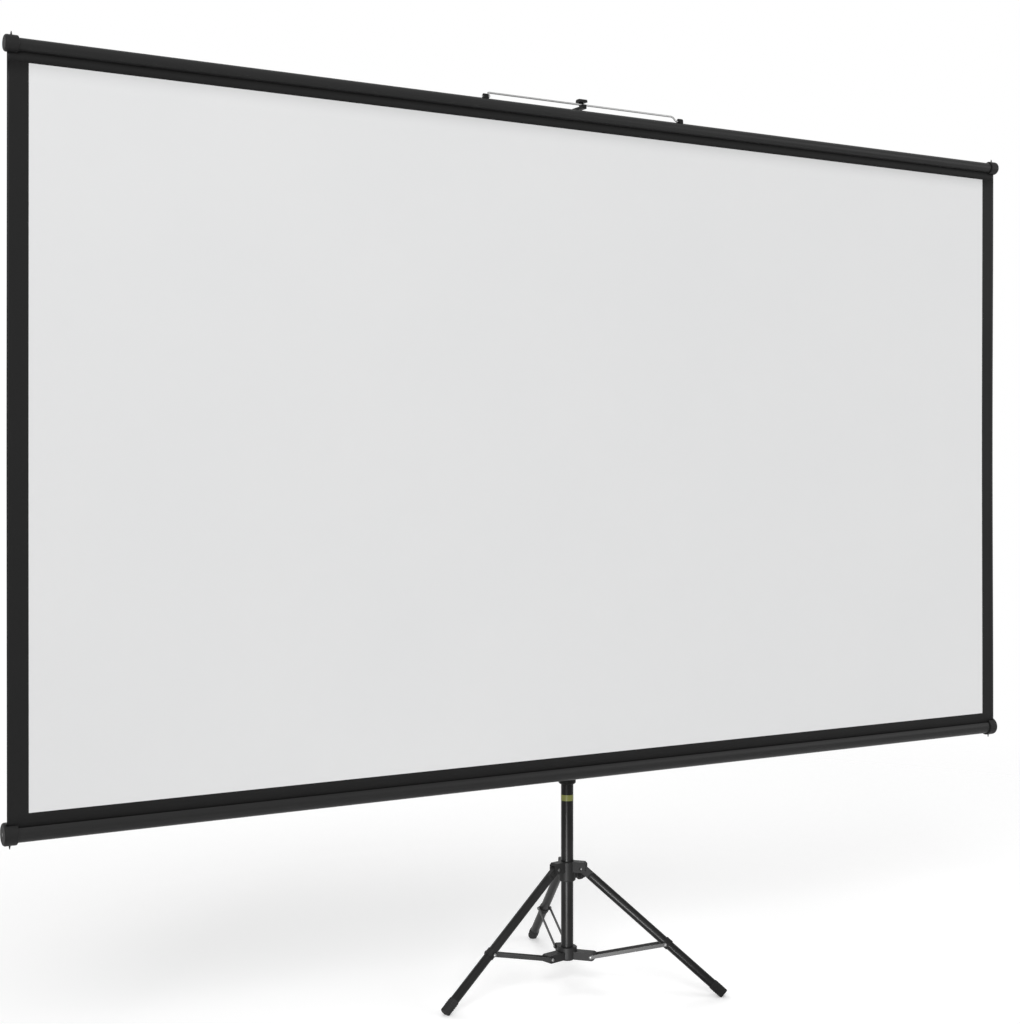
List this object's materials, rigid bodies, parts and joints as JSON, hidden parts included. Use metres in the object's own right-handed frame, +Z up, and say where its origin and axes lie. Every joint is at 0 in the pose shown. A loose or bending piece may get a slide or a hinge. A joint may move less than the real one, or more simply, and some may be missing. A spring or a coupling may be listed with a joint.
{
  "type": "projection screen with stand",
  "caption": "Wide white projection screen drawn up out of a slim black roller case and hooked to a telescopic mast on a folding tripod stand.",
  "frame": {"origin": "on the floor, below the middle of the whole object", "axes": "+Z up, +X along the screen's width to the viewer's right, the screen faces -Y"},
  "size_m": [2.296, 0.5618, 1.7813],
  "materials": {
    "black_tube": "satin black powder coat",
    "black_aluminium": "black anodised, fine brushed",
    "black_plastic": "fine moulded grain",
    "cap_plastic": "satin moulded",
    "black_rubber": "matt",
    "zinc_steel": "zinc plated",
    "white_fabric": "matt white with a black border",
    "bright_band": "yellow-green tape",
    "roller_metal": "mill finish",
    "white_plastic": "moulded"
  },
  "bodies": {
    "base": {"lower_tube": "black_tube", "tube_foot_plug": "black_plastic", "spreader_hub": "black_plastic", "spreader_pins": "zinc_steel", "height_clamp": "black_plastic", "marker_band": "bright_band"},
    "leg_collar": {"leg_collar": "black_plastic", "leg_pins": "zinc_steel"},
    "collar_knob": {"collar_knob": "black_plastic", "collar_knob_stud": "zinc_steel"},
    "height_knob": {"height_knob": "black_plastic", "height_knob_stud": "zinc_steel"},
    "extension_knob": {"extension_knob": "black_plastic", "extension_knob_stud": "zinc_steel"},
    "screen_case": {"centre_tube": "black_tube", "centre_bush": "black_plastic", "extension_clamp": "black_plastic", "case_bracket": "black_plastic", "bracket_screws": "zinc_steel", "case_shell": "black_aluminium", "case_cap_left": "cap_plastic", "case_cap_right": "cap_plastic", "roller_pin_left": "zinc_steel", "roller_pin_right": "zinc_steel", "screen_fabric": "white_fabric"},
    "roller": {"roller_tube": "roller_metal", "roller_plug_left": "white_plastic", "roller_plug_right": "white_plastic", "fabric_roll": "white_fabric"},
    "extension": {"extension_tube": "black_tube", "extension_bush": "black_plastic", "hook": "black_plastic", "hook_keeper": "black_plastic", "hook_peg": "black_plastic"},
    "top_bar": {"top_bar": "black_aluminium", "top_bar_cap_left": "cap_plastic", "top_bar_cap_right": "cap_plastic", "fabric_spline": "white_plastic", "bail_ear_left": "black_plastic", "bail_ear_right": "black_plastic"},
    "bail": {"bail": "zinc_steel"},
    "leg_1": {"leg_tube_1": "black_tube", "leg_fitting_1": "black_plastic", "leg_clip_1": "black_plastic", "leg_foot_1": "black_rubber"},
    "strut_1": {"strut_1": "zinc_steel", "strut_rivets_1": "zinc_steel"},
    "leg_2": {"leg_tube_2": "black_tube", "leg_fitting_2": "black_plastic", "leg_clip_2": "black_plastic", "leg_foot_2": "black_rubber"},
    "strut_2": {"strut_2": "zinc_steel", "strut_rivets_2": "zinc_steel"},
    "leg_3": {"leg_tube_3": "black_tube", "leg_fitting_3": "black_plastic", "leg_clip_3": "black_plastic", "leg_foot_3": "black_rubber"},
    "strut_3": {"strut_3": "zinc_steel", "strut_rivets_3": "zinc_steel"}
  },
  "joints": [
    {"name": "collar_slide", "type": "slide", "parent": "base", "child": "leg_collar", "axis": [0, 0, 1], "range_m": [0, 0.15]},
    {"name": "leg_fold_1", "type": "hinge", "parent": "leg_collar", "child": "leg_1", "pos_m": [0.02099, -0.05315, 0.232], "axis": [0.7547, 0.6561, 0], "range_deg": [0, 22.72]},
    {"name": "strut_swing_1", "type": "hinge", "parent": "base", "child": "strut_1", "pos_m": [0.03477, -0.069, 0.056], "axis": [0.7547, 0.6561, 0], "range_deg": [-42.2, 0]},
    {"name": "leg_fold_2", "type": "hinge", "parent": "leg_collar", "child": "leg_2", "pos_m": [0.01042, 0.00126, 0.232], "axis": [-0.9455, 0.3256, 0], "range_deg": [0, 22.72]},
    {"name": "strut_swing_2", "type": "hinge", "parent": "base", "child": "strut_2", "pos_m": [0.01725, 0.02111, 0.056], "axis": [-0.9455, 0.3256, 0], "range_deg": [-42.2, 0]},
    {"name": "leg_fold_3", "type": "hinge", "parent": "leg_collar", "child": "leg_3", "pos_m": [-0.03141, -0.03511, 0.232], "axis": [0.1908, -0.9816, 0], "range_deg": [0, 22.72]},
    {"name": "strut_swing_3", "type": "hinge", "parent": "base", "child": "strut_3", "pos_m": [-0.05203, -0.03911, 0.056], "axis": [0.1908, -0.9816, 0], "range_deg": [-42.2, 0]},
    {"name": "collar_knob_turn", "type": "hinge", "parent": "leg_collar", "child": "collar_knob", "pos_m": [0.03436, -0.02232, 0.214], "axis": [0.9816, 0.1908, 0], "continuous": true},
    {"name": "height_knob_turn", "type": "hinge", "parent": "base", "child": "height_knob", "pos_m": [0, 0.006, 0.435], "axis": [0, 1, 0], "continuous": true},
    {"name": "extension_knob_turn", "type": "hinge", "parent": "screen_case", "child": "extension_knob", "pos_m": [0, 0.006, 0.949], "axis": [0, 1, 0], "continuous": true},
    {"name": "height_slide", "type": "slide", "parent": "base", "child": "screen_case", "axis": [0, 0, 1], "range_m": [0, 0.25]},
    {"name": "extension_slide", "type": "slide", "parent": "screen_case", "child": "extension", "axis": [0, 0, 1], "range_m": [-0.76, 0], "deforming": ["screen_fabric"]},
    {"name": "bar_slide", "type": "slide", "parent": "screen_case", "child": "top_bar", "axis": [0, 0, 1], "range_m": [-0.7601, 0.0001]},
    {"name": "roller_spin", "type": "hinge", "parent": "screen_case", "child": "roller", "pos_m": [0, -0.089, 0.437], "axis": [1, 0, 0], "range_deg": [-1, 4740]},
    {"name": "bail_swing", "type": "hinge", "parent": "top_bar", "child": "bail", "pos_m": [0, -0.0985, 1.7585], "axis": [1, 0, 0], "range_deg": [0, 130]}
  ],
  "couplings": [
    {"joint": "leg_fold_1", "follows": "collar_slide", "rad_per_m": 2.6378},
    {"joint": "strut_swing_1", "follows": "collar_slide", "rad_per_m": -4.9043},
    {"joint": "leg_fold_2", "follows": "collar_slide", "rad_per_m": 2.6378},
    {"joint": "strut_swing_2", "follows": "collar_slide", "rad_per_m": -4.9043},
    {"joint": "leg_fold_3", "follows": "collar_slide", "rad_per_m": 2.6378},
    {"joint": "strut_swing_3", "follows": "collar_slide", "rad_per_m": -4.9043},
    {"joint": "bar_slide", "follows": "extension_slide", "ratio": 1},
    {"joint": "roller_spin", "follows": "extension_slide", "rad_per_m": -108.7}
  ]
}
